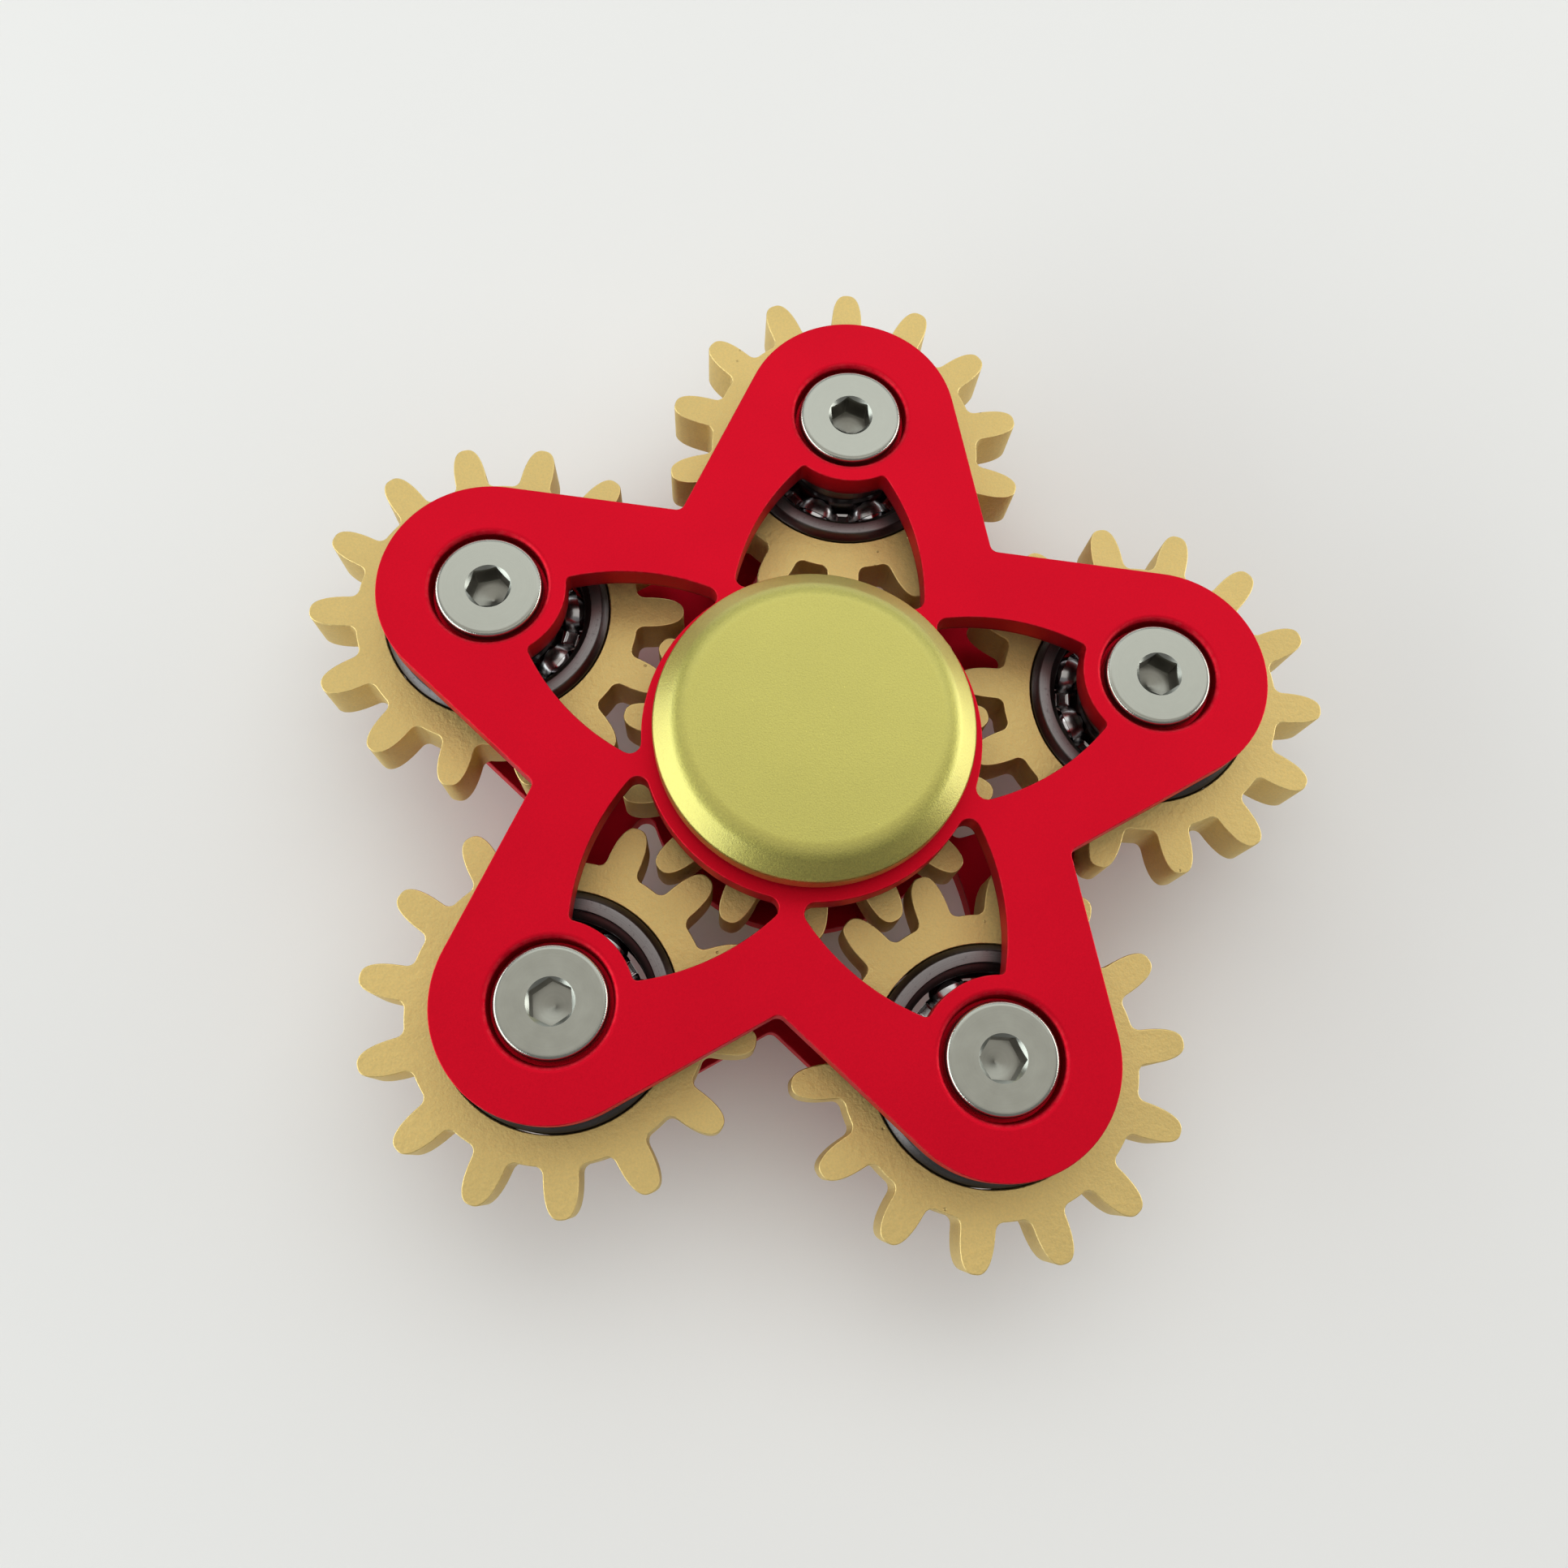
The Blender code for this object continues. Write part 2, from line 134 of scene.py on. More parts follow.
def grey_ramp(tree, factor, low, high, bottom=0.0, top=1.0):
    """Bring the part of a value between low and high to the range bottom to top."""
    made = add(tree, "ShaderNodeMapRange", {0: factor, 1: low, 2: high, 3: bottom, 4: top})
    return made.outputs[0]


def effect(name, inputs, outputs):
    """Start a node group with a vector input, float inputs and float outputs."""
    group = bpy.data.node_groups.new(name, "ShaderNodeTree")
    for label, value in inputs.items():
        kind = "NodeSocketVector" if value is None else "NodeSocketFloat"
        socket = group.interface.new_socket(name=label, in_out="INPUT", socket_type=kind)
        if value is not None:
            socket.default_value = value
    for label in outputs:
        group.interface.new_socket(name=label, in_out="OUTPUT", socket_type="NodeSocketFloat")
    return group, group.nodes.new("NodeGroupInput").outputs, group.nodes.new("NodeGroupOutput").inputs


# Lathe marks: fine rings on faces and walls, and nicks that run out from the axis.
lathe_marks, ins, outs = effect("Lathe marks", {"Own": None, "Rings per mm": 9.0, "Nicks": 60.0},
                                ("Rings", "Nick", "Cloud", "Reach", "Height"))
parts_of = add(lathe_marks, "ShaderNodeSeparateXYZ", {0: ins["Own"]})
flat_place = add(lathe_marks, "ShaderNodeCombineXYZ", {0: parts_of.outputs[0], 1: parts_of.outputs[1]})
reach = add(lathe_marks, "ShaderNodeVectorMath", {0: flat_place.outputs[0]}, operation="LENGTH")
ring_place = add(lathe_marks, "ShaderNodeCombineXYZ",
                 {0: reach.outputs["Value"], 1: parts_of.outputs[2]})
rings = add(lathe_marks, "ShaderNodeTexNoise",
            {"Vector": ring_place.outputs[0], "Scale": ins["Rings per mm"], "Detail": 3.0},
            noise_dimensions="2D")
way_out = add(lathe_marks, "ShaderNodeVectorMath", {0: flat_place.outputs[0]}, operation="NORMALIZE")
nicks = add(lathe_marks, "ShaderNodeTexNoise",
            {"Vector": way_out.outputs[0], "Scale": ins["Nicks"], "Detail": 2.0},
            noise_dimensions="2D")
cloud = add(lathe_marks, "ShaderNodeTexNoise", {"Vector": ins["Own"], "Scale": 0.7, "Detail": 3.0})
lathe_marks.links.new(rings.outputs["Fac"], outs["Rings"])
lathe_marks.links.new(nicks.outputs["Fac"], outs["Nick"])
lathe_marks.links.new(cloud.outputs["Fac"], outs["Cloud"])
lathe_marks.links.new(reach.outputs["Value"], outs["Reach"])
lathe_marks.links.new(parts_of.outputs[2], outs["Height"])


def new_paint(name, colour, metallic, roughness, **constants):
    """A material with its plain values set on the shader itself."""
    paint = bpy.data.materials.new(name)
    paint.use_nodes = True
    tree = paint.node_tree
    shader = tree.nodes["Principled BSDF"]
    shader.inputs["Base Color"].default_value = (*colour, 1)
    shader.inputs["Metallic"].default_value = metallic
    shader.inputs["Roughness"].default_value = roughness
    for label, value in constants.items():
        shader.inputs[label.replace("_", " ")].default_value = value
    return paint, tree, shader


def use(tree, group, inputs):
    made = add(tree, "ShaderNodeGroup", node_tree=group)
    for label, value in inputs.items():
        if isinstance(value, bpy.types.NodeSocket):
            tree.links.new(value, made.inputs[label])
        else:
            made.inputs[label].default_value = value
    return made.outputs


def own_place(tree):
    """The point's place on its own piece, in millimetres from that piece's axis."""
    return add(tree, "ShaderNodeAttribute", attribute_name="own").outputs["Vector"]


def edge_mask(tree):
    return add(tree, "ShaderNodeAttribute", attribute_name="edge").outputs["Fac"]


def bump(tree, shader, height, strength, distance_mm):
    made = add(tree, "ShaderNodeBump", {"Height": height, "Strength": strength,
                                        "Distance": distance_mm * MM})
    tree.links.new(made.outputs[0], shader.inputs["Normal"])


def scaled_colour(tree, colour, tone):
    """Multiply one colour by a tone that changes over the surface."""
    return add(tree, "ShaderNodeVectorMath", {0: colour, "Scale": tone}, operation="SCALE").outputs[0]


rim_start = (2.0, 2.2)
# Dark brown of the painted shade down a hexagon socket.
socket_shade_colour = (0.09, 0.072, 0.06, 1)


def turned_steel(name, colour, roughness, ring_depth, nick_depth):
    """Steel off the lathe: faint rings on its faces, nicked rims, and painted shade down a socket."""
    paint, tree, shader = new_paint(name, colour, 1.0, roughness)
    marks = use(tree, lathe_marks, {"Own": own_place(tree), "Rings per mm": 9.0, "Nicks": 45.0})
    edge = sums(tree, "MULTIPLY", edge_mask(tree), grey_ramp(tree, marks["Reach"], *rim_start))
    tone = grey_ramp(tree, marks["Rings"], 0.3, 0.7, 0.98, 1.02)
    tone = sums(tree, "MULTIPLY", tone, grey_ramp(tree, marks["Cloud"], 0.3, 0.7, 0.94, 1.05))
    tone = sums(tree, "MULTIPLY", tone, grey_ramp(tree, edge, 0, 1, 1.0, 1.35))
    # Socket walls blend towards that dark brown, its bottom less so: painted shade in the recess.
    socket_shade = sums(tree, "MULTIPLY", grey_ramp(tree, marks["Height"], -0.15, -0.5),
                grey_ramp(tree, marks["Height"], -2.08, -1.9, 0.2, 0.75))
    socket_shade = sums(tree, "MULTIPLY", socket_shade, grey_ramp(tree, marks["Reach"], 1.65, 1.6))
    socket_shaded = blend_colour(tree, socket_shade, scaled_colour(tree, colour, tone), socket_shade_colour)
    tree.links.new(socket_shaded, shader.inputs["Base Color"])
    rough = grey_ramp(tree, marks["Cloud"], 0.3, 0.7, roughness * 0.88, roughness * 1.12)
    rough = sums(tree, "MULTIPLY", rough, grey_ramp(tree, edge, 0, 1, 1.0, 0.75))
    tree.links.new(rough, shader.inputs["Roughness"])
    rings_part = sums(tree, "MULTIPLY", marks["Rings"], grey_ramp(tree, edge, 0, 1, ring_depth, 0.1))
    nick_part = sums(tree, "MULTIPLY", marks["Nick"], grey_ramp(tree, edge, 0, 1, 0.0, nick_depth))
    bump(tree, shader, sums(tree, "ADD", rings_part, nick_part), 1.0, 0.012)
    return paint


stainless = turned_steel("turned_stainless", (0.345, 0.355, 0.318), 0.32, 0.06, 1.1)

axle_radius = 2.22
axle_half = 8.5
axle_end = 0.3
axle = turned([(0, axle_half, 0), (axle_radius, axle_half, axle_end),
               (axle_radius, -axle_half, axle_end), (0, -axle_half, 0)])
settle(axle, "axle_rod", "grip", hub, stainless, ["centre_axle"])

# ---------------------------------------------------------------------------
# Bearing rings: six small deep-groove ball bearings, one in the hub and one in
# each planet gear.  Hardened steel, ground on the faces, with rounded outer
# corners, a step where a shield would seat, and a raceway for the balls.
ball_radius = 1.389
ball_pitch = 5.25
race_radius = 1.42
ring_face = 2.5
land_gap = 0.9
arms = (1, 2, 3, 4, 5)


def arm_axis(arm):
    low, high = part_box(f"front_spacer_{arm}")
    middle = (low + high) / 2
    return Vector((middle.x, middle.y, hub.z))


# name of the gear or arm, place, bodies of the outer ring, the inner ring and the cage
bearings = [("sun", hub, "sun", "grip", "sun_cage")]
bearings += [(f"planet_{arm}", arm_axis(arm), f"planet_{arm}", "frame", f"planet_{arm}_cage")
             for arm in arms]


def raceway(side, steps=10):
    """Groove arc for an outer ring (side 1) or an inner ring (side -1), top to bottom."""
    edge = acos(land_gap / race_radius)
    turns = [edge - 2 * edge * step / steps for step in range(steps + 1)]
    return [(ball_pitch + side * race_radius * cos(t), race_radius * sin(t), 0) for t in turns]


def ring_section(upper, side):
    return upper + raceway(side) + [(r, -z, corner) for r, z, corner in reversed(upper)]


outer_upper = [(7.95, 2.02, 0.1), (7.47, ring_face, 0.07), (6.68, ring_face, 0.04), (6.66, 2.2, 0.0),
               (6.84, 2.1, 0.05), (6.84, 1.9, 0.05), (6.55, 1.82, 0.0), (6.16, 1.72, 0.06)]
inner_upper = [(2.52, ring_face, 0.25), (3.88, ring_face, 0.08), (3.9, 2.15, 0.0), (4.33, 1.72, 0.08)]

bearing_colour = (0.20, 0.186, 0.188)
bearing_steel, tree, shader = new_paint("ground_bearing_steel", bearing_colour, 1.0, 0.38)
marks = use(tree, lathe_marks, {"Own": own_place(tree), "Rings per mm": 14.0, "Nicks": 30.0})
edge = edge_mask(tree)
scuffs = add(tree, "ShaderNodeTexNoise", {"Vector": own_place(tree), "Scale": 5.0, "Detail": 6.0,
                                          "Roughness": 0.7})
scuff = grey_ramp(tree, scuffs.outputs["Fac"], 0.58, 0.68)
tone = grey_ramp(tree, marks["Rings"], 0.3, 0.7, 0.9, 1.08)
tone = sums(tree, "MULTIPLY", tone, grey_ramp(tree, scuff, 0, 1, 1.0, 0.6))
# Chamfers, roundings and groove sides go down to under half tone: painted shade and dark reflection on
# the sloped faces.
tone = sums(tree, "MULTIPLY", tone, grey_ramp(tree, edge, 0, 1, 1.0, 0.45))
tree.links.new(scaled_colour(tree, bearing_colour, tone), shader.inputs["Base Color"])
rough = grey_ramp(tree, scuffs.outputs["Fac"], 0.3, 0.7, 0.34, 0.42)
rough = sums(tree, "MULTIPLY", rough, grey_ramp(tree, edge, 0, 1, 1.0, 0.8))
tree.links.new(rough, shader.inputs["Roughness"])
ring_height = sums(tree, "SUBTRACT", sums(tree, "MULTIPLY", marks["Rings"], 0.5), scuff)
bump(tree, shader, ring_height, 0.3, 0.006)

for gear, place, outer_body, inner_body, cage_body in bearings:
    outer = turned(ring_section(outer_upper, 1), closed=True)
    settle(outer, f"{gear}_outer_race", outer_body, place, bearing_steel,
           [f"{gear}_bearing_outer_ring"])
    inner = turned(ring_section(inner_upper, -1), closed=True)
    settle(inner, f"{gear}_inner_race", inner_body, place, bearing_steel,
           [f"{gear}_bearing_inner_ring"])

# ---------------------------------------------------------------------------
# Balls and cage: eight chrome-steel balls in each bearing, held apart by a
# cage pressed from thin strip.  Its two halves bulge over the balls and are
# clinched together by a folded tab between each pair.
balls = 8
chrome, tree, shader = new_paint("ball_chrome", (0.62, 0.62, 0.64), 1.0, 0.07)
smears = add(tree, "ShaderNodeTexNoise", {"Vector": own_place(tree), "Scale": 0.9, "Detail": 2.0})
tree.links.new(grey_ramp(tree, smears.outputs["Fac"], 0.35, 0.65, 0.05, 0.14),
               shader.inputs["Roughness"])

strip_colour = (0.42, 0.415, 0.42)
strip_steel, tree, shader = new_paint("pressed_strip_steel", strip_colour, 1.0, 0.25)
grain = add(tree, "ShaderNodeTexNoise", {"Vector": own_place(tree), "Scale": 6.0, "Detail": 4.0})
tree.links.new(grey_ramp(tree, grain.outputs["Fac"], 0.3, 0.7, 0.2, 0.27), shader.inputs["Roughness"])
tone = grey_ramp(tree, grain.outputs["Fac"], 0.3, 0.7, 0.92, 1.06)
tree.links.new(scaled_colour(tree, strip_colour, tone), shader.inputs["Base Color"])
bump(tree, shader, grain.outputs["Fac"], 0.12, 0.01)

strip_half_width = 0.46
strip_thickness = 0.18
web_height = 0.04
pocket_radius = ball_radius + 0.04
tab_size = (0.86, 1.0, 0.26)
tab_lift = 0.08
tab_rim = 0.24
tab_dimple = 0.12
tab_corner = 0.05
ball_turns = {"sun": 0, "planet_1": -17, "planet_2": -12, "planet_3": 8, "planet_4": -4,
              "planet_5": 9.5}


def joined(first, second):
    """Add the second mesh to the first."""
    spare = bpy.data.meshes.new("spare")
    second.to_mesh(spare)
    second.free()
    first.from_mesh(spare)
    bpy.data.meshes.remove(spare)


def strip_cage():
    """Front half of the pressed strip, domed over each ball, then mirrored for the back half."""
    work = bmesh.new()
    line = [work.verts.new((ball_pitch + strip_half_width * t, 0, 0))
            for t in (-1, -0.5, 0, 0.5, 1)]
    for first, second in zip(line, line[1:]):
        work.edges.new((first, second))
    bmesh.ops.spin(work, geom=work.verts[:] + work.edges[:], cent=(0, 0, 0), axis=(0, 0, 1),
                   angle=tau, steps=balls * 24, use_merge=True)
    ball_turn = tau / balls
    for vert in work.verts:
        lag = (atan2(vert.co.y, vert.co.x) + ball_turn / 2) % ball_turn - ball_turn / 2
        along, across = ball_pitch * lag, vert.co.xy.length - ball_pitch
        dome = sqrt(max(0.0, pocket_radius ** 2 - along ** 2 - across ** 2))
        vert.co.z = max(dome, web_height)
    bmesh.ops.smooth_vert(work, verts=work.verts[:], factor=0.5, use_axis_z=True)
    bmesh.ops.recalc_face_normals(work, faces=work.faces)
    if sum(face.normal.z for face in work.faces) < 0:
        bmesh.ops.reverse_faces(work, faces=work.faces)
    bmesh.ops.solidify(work, geom=work.faces[:], thickness=-strip_thickness)
    tab = bmesh.new()
    bmesh.ops.create_cube(tab, size=1.0, matrix=Matrix.Diagonal((*tab_size, 1)))
    top = max(tab.faces, key=lambda face: face.calc_center_median().z)
    bmesh.ops.inset_region(tab, faces=[top], thickness=tab_rim, depth=0.0)
    bmesh.ops.translate(tab, verts=top.verts[:], vec=(0, 0, -tab_dimple))
    bmesh.ops.bevel(tab, geom=tab.edges[:], offset=tab_corner, affect="EDGES", segments=2,
                    profile=0.5, material=-1)
    on_web = Matrix.Translation((ball_pitch, 0, web_height + strip_thickness + tab_lift))
    for number in range(balls):
        copy = tab.copy()
        between_balls = Matrix.Rotation(ball_turn * (number + 0.5), 4, "Z")
        bmesh.ops.transform(copy, verts=copy.verts, matrix=between_balls @ on_web)
        joined(work, copy)
    tab.free()
    bmesh.ops.mirror(work, geom=work.verts[:] + work.edges[:] + work.faces[:], axis="Z",
                     matrix=Matrix.Identity(4), merge_dist=1e-5)
    return work


for gear, place, outer_body, inner_body, cage_body in bearings:
    toward_arm = atan2(place.y - hub.y, place.x - hub.x) if gear != "sun" else 0.0
    turn = Matrix.Rotation(toward_arm + radians(ball_turns[gear]), 4, "Z")
    settle(strip_cage(), f"{gear}_cage_strip", cage_body, place, strip_steel,
           [f"{gear}_bearing_cage"], turn=turn)
    work = bmesh.new()
    for number in range(balls):
        spot = Matrix.Rotation(tau * number / balls, 4, "Z") @ Matrix.Translation((ball_pitch, 0, 0))
        bmesh.ops.create_uvsphere(work, u_segments=32, v_segments=20, radius=ball_radius, matrix=spot)
    settle(work, f"{gear}_balls", cage_body, place, chrome, turn=turn)

# ---------------------------------------------------------------------------
# Gears: one sun and five planets, cast in brass with fourteen bullet shaped
# teeth and blasted with fine grit, which leaves a rippled skin and soft
# edges.  Each is pressed round its bearing.
teeth = 14
tooth_pitch = tau / teeth
gear_half = 2.0
gear_edge = 0.08
root_radius = 10.03
root_fillet = 0.6
flank = 1.15
shoulder = 10.4
tip = 13.28
gear_bore = 8.02
flank_turns = (8, 16, 24, 32, 40, 48, 56, 63, 69, 74, 79, 84)
fullness = 2 / 2.6


def sweep(work, vert, centre, angle, steps):
    """Carry a vertex round a centre, leaving an arc of edges; returns the last vertex."""
    made = bmesh.ops.spin(work, geom=[vert], cent=(*centre, 0), axis=(0, 0, 1), angle=angle,
                          steps=steps)
    return next(part for part in made["geom_last"] if isinstance(part, bmesh.types.BMVert))


def line_to(work, vert, point):
    made = work.verts.new((*point[:2], 0))
    work.edges.new((vert, made))
    return made


def ease_edges(work, region, size):
    """Round the rim of a flat region with three narrow steps that rise to its face."""
    for across, up in ((0.134, 0.5), (0.366, 0.366), (0.5, 0.134)):
        bmesh.ops.inset_region(work, faces=region, thickness=across * size, depth=up * size,
                               use_even_offset=True, use_boundary=True)


def drop_walls(work, rim, depth):
    """Extrude a rim of edges straight down."""
    made = bmesh.ops.extrude_edge_only(work, edges=rim)["geom"]
    bmesh.ops.translate(work, verts=[part for part in made if isinstance(part, bmesh.types.BMVert)],
                        vec=(0, 0, -depth))


def flat_face(work):
    """Fill a closed outline with one face that looks up."""
    face = bmesh.ops.contextual_create(work, geom=work.edges[:])["faces"][0]
    if face.normal.z < 0:
        face.normal_flip()
    return face


def gear_blank():
    """One tooth and its share of the rim, copied round, eased and given its thickness."""
    work = bmesh.new()
    gap = tooth_pitch / 2
    start = work.verts.new((root_radius * cos(gap), -root_radius * sin(gap), 0))
    land = gap - atan2(flank + root_fillet, sqrt(root_radius ** 2 - (flank + root_fillet) ** 2))
    pen = sweep(work, start, (0, 0), land, 2)
    pen = sweep(work, pen, (pen.co.x + root_fillet, pen.co.y), -pi / 2, 5)
    reach = tip - shoulder
    for turn in flank_turns:
        turn = radians(turn)
        pen = line_to(work, pen, (shoulder + reach * sin(turn) ** fullness,
                                  -flank * cos(turn) ** fullness))
    line_to(work, pen, (tip, 0))
    bmesh.ops.mirror(work, geom=work.verts[:] + work.edges[:], axis="Y",
                     matrix=Matrix.Identity(4), merge_dist=1e-4)
    end = max(work.verts, key=lambda vert: atan2(vert.co.y, vert.co.x))
    bore = work.verts.new((gear_bore * cos(gap), -gear_bore * sin(gap), 0))
    work.edges.new((start, bore))
    work.edges.new((sweep(work, bore, (0, 0), tooth_pitch, 7), end))
    flat_face(work)
    bmesh.ops.spin(work, geom=work.faces[:], cent=(0, 0, 0), axis=(0, 0, 1), use_duplicate=True,
                   angle=tau - tooth_pitch, steps=teeth - 1)
    bmesh.ops.remove_doubles(work, verts=work.verts, dist=1e-4)
    bmesh.ops.translate(work, verts=work.verts, vec=(0, 0, gear_half - gear_edge))
    ease_edges(work, work.faces[:], gear_edge)
    drop_walls(work, [edge for edge in work.edges if edge.is_boundary], gear_half - gear_edge)
    bmesh.ops.mirror(work, geom=work.verts[:] + work.edges[:] + work.faces[:], axis="Z",
                     matrix=Matrix.Identity(4), merge_dist=1e-4)
    return work


# Blasted and cast skin: fine grit, a slow orange peel, and a few sparse specks, kept as open pits on
# the brass and as painted glints on the gold.
blasted_skin, ins, outs = effect("Blasted skin", {"Place": None, "Grit": 6000.0, "Peel": 1400.0,
                                                  "Pits": 450.0}, ("Grit", "Peel", "Pit_and_glint", "Tone"))
grit = add(blasted_skin, "ShaderNodeTexNoise", {"Vector": ins["Place"], "Scale": ins["Grit"],
                                                "Detail": 2.0, "Roughness": 0.6})
peel = add(blasted_skin, "ShaderNodeTexNoise", {"Vector": ins["Place"], "Scale": ins["Peel"],
                                                "Detail": 2.0})
pits = add(blasted_skin, "ShaderNodeTexVoronoi", {"Vector": ins["Place"], "Scale": ins["Pits"]})
pit_choice = add(blasted_skin, "ShaderNodeSeparateColor", {0: pits.outputs["Color"]})
pit = sums(blasted_skin, "MULTIPLY", grey_ramp(blasted_skin, pits.outputs["Distance"], 0.05, 0.1, 1, 0),
           grey_ramp(blasted_skin, pit_choice.outputs[0], 0.9, 0.92))
slow = add(blasted_skin, "ShaderNodeTexNoise", {"Vector": ins["Place"], "Scale": 120.0,
                                                "Detail": 3.0})
blasted_skin.links.new(grit.outputs["Fac"], outs["Grit"])
blasted_skin.links.new(peel.outputs["Fac"], outs["Peel"])
blasted_skin.links.new(pit, outs["Pit_and_glint"])
blasted_skin.links.new(slow.outputs["Fac"], outs["Tone"])


def object_place(tree):
    return add(tree, "ShaderNodeTexCoord").outputs["Object"]


brass_colour = (0.70, 0.54, 0.222)
brass, tree, shader = new_paint("blasted_brass", brass_colour, 1.0, 0.5)
skin = use(tree, blasted_skin, {"Place": object_place(tree), "Grit": 6500.0, "Peel": 2200.0,
                                "Pits": 900.0})
tone = grey_ramp(tree, skin["Grit"], 0.25, 0.75, 0.88, 1.1)
tone = sums(tree, "MULTIPLY", tone, grey_ramp(tree, skin["Tone"], 0.3, 0.7, 0.95, 1.04))
tone = sums(tree, "MULTIPLY", tone, grey_ramp(tree, skin["Pit_and_glint"], 0, 1, 1.0, 0.75))
tone = sums(tree, "MULTIPLY", tone, grey_ramp(tree, edge_mask(tree), 0, 1, 1.0, 1.05))
tree.links.new(scaled_colour(tree, brass_colour, tone), shader.inputs["Base Color"])
rough = grey_ramp(tree, skin["Grit"], 0.3, 0.7, 0.52, 0.66)
tree.links.new(sums(tree, "MULTIPLY", rough, grey_ramp(tree, edge_mask(tree), 0, 1, 1.0, 0.7)),
               shader.inputs["Roughness"])
height = sums(tree, "ADD", sums(tree, "MULTIPLY", skin["Grit"], 0.5), skin["Peel"])
bump(tree, shader, sums(tree, "SUBTRACT", height, skin["Pit_and_glint"]), 0.85, 0.045)

sun_tooth = radians(20.4)
arm_spacing = tau / len(arms)
settle(gear_blank(), "sun_gear_wheel", "sun", hub, brass, ["sun_gear"],
       turn=Matrix.Rotation(sun_tooth, 4, "Z"))
for arm in arms:
    direction = radians(90) + arm_spacing * (arm - 1)
    lag = (sun_tooth - direction) % tooth_pitch
    settle(gear_blank(), f"planet_{arm}_gear_wheel", f"planet_{arm}", arm_axis(arm), brass,
           [f"planet_{arm}_gear"],
           turn=Matrix.Rotation(direction + pi - lag + tooth_pitch / 2, 4, "Z"))

# ---------------------------------------------------------------------------
# Arm spacers: plain turned stainless washers between each bearing's inner ring
# and the two plates, so that the gear spins clear of them.
washer_bore, washer_radius, washer_corner = 2.52, 3.68, 0.1
washer_low, washer_high = 2.52, 4.33
upright = Matrix.Identity(4)
flipped = Matrix.Rotation(pi, 4, "Y")
for arm in arms:
    for side, turn in (("front", upright), ("rear", flipped)):
        washer = turned([(washer_bore, washer_low, washer_corner),
                         (washer_radius, washer_low, washer_corner),
                         (washer_radius, washer_high, washer_corner),
                         (washer_bore, washer_high, washer_corner)], closed=True, steps=48)
        settle(washer, f"{side}_washer_{arm}", "frame", arm_axis(arm), stainless,
               [f"{side}_spacer_{arm}"], turn=turn)

# ---------------------------------------------------------------------------
# Frame plates: two five-armed stars milled from 2 mm aluminium, blasted and
# anodised red.  Each arm has a window over its gears and a recess for a screw.
plate_middle = 5.35
plate_half = 1.0
plate_edge = 0.08
arm_reach = 24.5
arm_end = 7.62
arm_taper = radians(18)
notch_fillet = 0.6
hub_hole = 5.0
well_rim = 4.46
well_wall = 4.0
well_round = 0.44
well_depth = 1.4
screw_hole = 2.9
side_centre = Vector((-9.65, 9.63))
side_radius = 16.3
hub_fillet = 0.75
eye_fillet = 0.4
eye = 5.3
hub_ring = 11.5


def circles_meet(first, first_radius, second, second_radius):
    """Where two circles cross, on the side that lies further along +X."""
    gap = second - first
    along = (gap.length_squared + first_radius ** 2 - second_radius ** 2) / (2 * gap.length)
    across = sqrt(first_radius ** 2 - along ** 2)
    foot = first + gap.normalized() * along
    side = gap.orthogonal().normalized() * across
    return max(foot + side, foot - side, key=lambda point: point.x)


def bearing_of(centre, point):
    return atan2(point[1] - centre[1], point[0] - centre[0])


